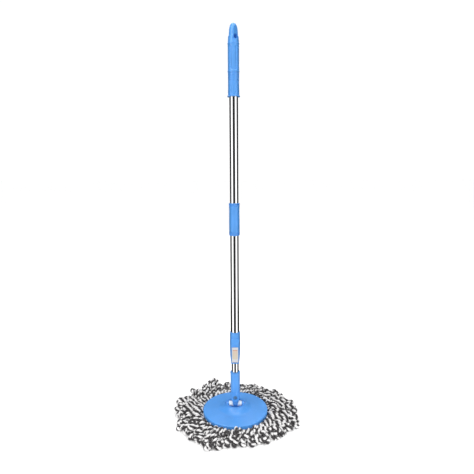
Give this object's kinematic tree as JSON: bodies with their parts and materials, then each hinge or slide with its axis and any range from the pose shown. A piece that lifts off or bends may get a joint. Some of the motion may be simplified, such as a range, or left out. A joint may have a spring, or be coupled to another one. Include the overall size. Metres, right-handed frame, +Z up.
{
  "type": "spin mop",
  "caption": "Upright spin mop: telescopic push-to-spin pole with lock lever, two-axis swivel, round plate and clip-on two-tone yarn refill.",
  "frame": {"origin": "on the floor under the centre of the round head", "axes": "+Z up along the pole; -Y is the front, where the lock lever is; +X is to the right seen from the front"},
  "size_m": [0.304, 0.304, 0.937],
  "materials": {
    "blue_plastic": "semi-gloss moulded polypropylene",
    "pale_nylon": "moulded nylon, icy white",
    "white_plastic": "moulded plastic, white",
    "cream_plastic": "matt cream panel",
    "refill_plastic": "moulded polypropylene, white",
    "inner_nylon": "natural nylon",
    "core_plastic": "black acetal",
    "tube_steel": "mirror-polished stainless steel",
    "strip_steel": "rolled steel strip",
    "screw_steel": "zinc-plated steel",
    "dark_steel": "blackened steel",
    "washer_brass": "stamped",
    "dark_rubber": "matt",
    "backing": "stitched woven band",
    "yarn": "looped two-tone microfibre yarn, charcoal and white"
  },
  "bodies": {
    "refill": {"refill_ring": "refill_plastic", "backing_cloth": "backing", "yarn_fringe": "yarn"},
    "plate": {"mop_plate": "blue_plastic", "hub_bracket": "blue_plastic", "hub_screws": "screw_steel", "trunnion_pin": "screw_steel"},
    "cross": {"swivel_cross": "blue_plastic", "swivel_bushes": "pale_nylon"},
    "lower_pole": {"knuckle_socket": "blue_plastic", "pivot_screw": "dark_steel", "pivot_nut": "screw_steel", "friction_washers": "dark_rubber", "inner_tube": "tube_steel", "socket_screw": "screw_steel", "clutch_housing": "inner_nylon", "clutch_cap": "inner_nylon"},
    "spinner": {"thrust_washer": "washer_brass"},
    "core": {"ratchet_core": "core_plastic"},
    "turner": {"guide_ring": "inner_nylon"},
    "upper_pole": {"outer_tube_lower": "tube_steel", "outer_tube_upper": "tube_steel", "lower_bush": "inner_nylon", "coupler_plug": "inner_nylon", "anchor_pin": "screw_steel", "twisted_strip": "strip_steel", "strip_stop": "strip_steel", "mid_sleeve": "blue_plastic", "sleeve_screws": "screw_steel", "grip": "blue_plastic", "hang_cap": "blue_plastic", "lock_housing": "blue_plastic", "housing_screw": "screw_steel", "lever_pin": "screw_steel"},
    "lever": {"lock_lever": "white_plastic", "lever_inlay": "cream_plastic"},
    "brake": {"brake_pad": "dark_rubber"}
  },
  "joints": [
    {"name": "disc_release", "type": "slide", "parent": "refill", "child": "plate", "axis": [0, 0, 1], "range_m": [0, 0.04]},
    {"name": "swivel_tilt", "type": "hinge", "parent": "plate", "child": "cross", "pos_m": [0, 0, 0.0425], "axis": [1, 0, 0], "range_deg": [-45, 45]},
    {"name": "pole_tilt", "type": "hinge", "parent": "cross", "child": "lower_pole", "pos_m": [0, 0, 0.063], "axis": [0, 1, 0], "range_deg": [-90, 90]},
    {"name": "head_spin", "type": "hinge", "parent": "lower_pole", "child": "spinner", "pos_m": [0, 0, 0.44], "axis": [0, 0, 1], "continuous": true},
    {"name": "core_float", "type": "slide", "parent": "spinner", "child": "core", "axis": [0, 0, 1], "range_m": [-0.0012, 0]},
    {"name": "screw_turn", "type": "hinge", "parent": "spinner", "child": "turner", "pos_m": [0, 0, 0.45], "axis": [0, 0, 1], "range_deg": [-60, 930]},
    {"name": "handle_slide", "type": "slide", "parent": "turner", "child": "upper_pole", "axis": [0, 0, 1], "range_m": [-0.012, 0.23]},
    {"name": "lever_turn", "type": "hinge", "parent": "upper_pole", "child": "lever", "pos_m": [0, -0.014, 0.1595], "axis": [1, 0, 0], "range_deg": [0, 100]},
    {"name": "pad_press", "type": "slide", "parent": "upper_pole", "child": "brake", "axis": [0, -1, 0], "range_m": [0, 0.0006]}
  ],
  "couplings": [
    {"joint": "screw_turn", "follows": "handle_slide", "rad_per_m": 69.813},
    {"joint": "pad_press", "follows": "lever_turn", "m_per_rad": 0.00028648}
  ]
}
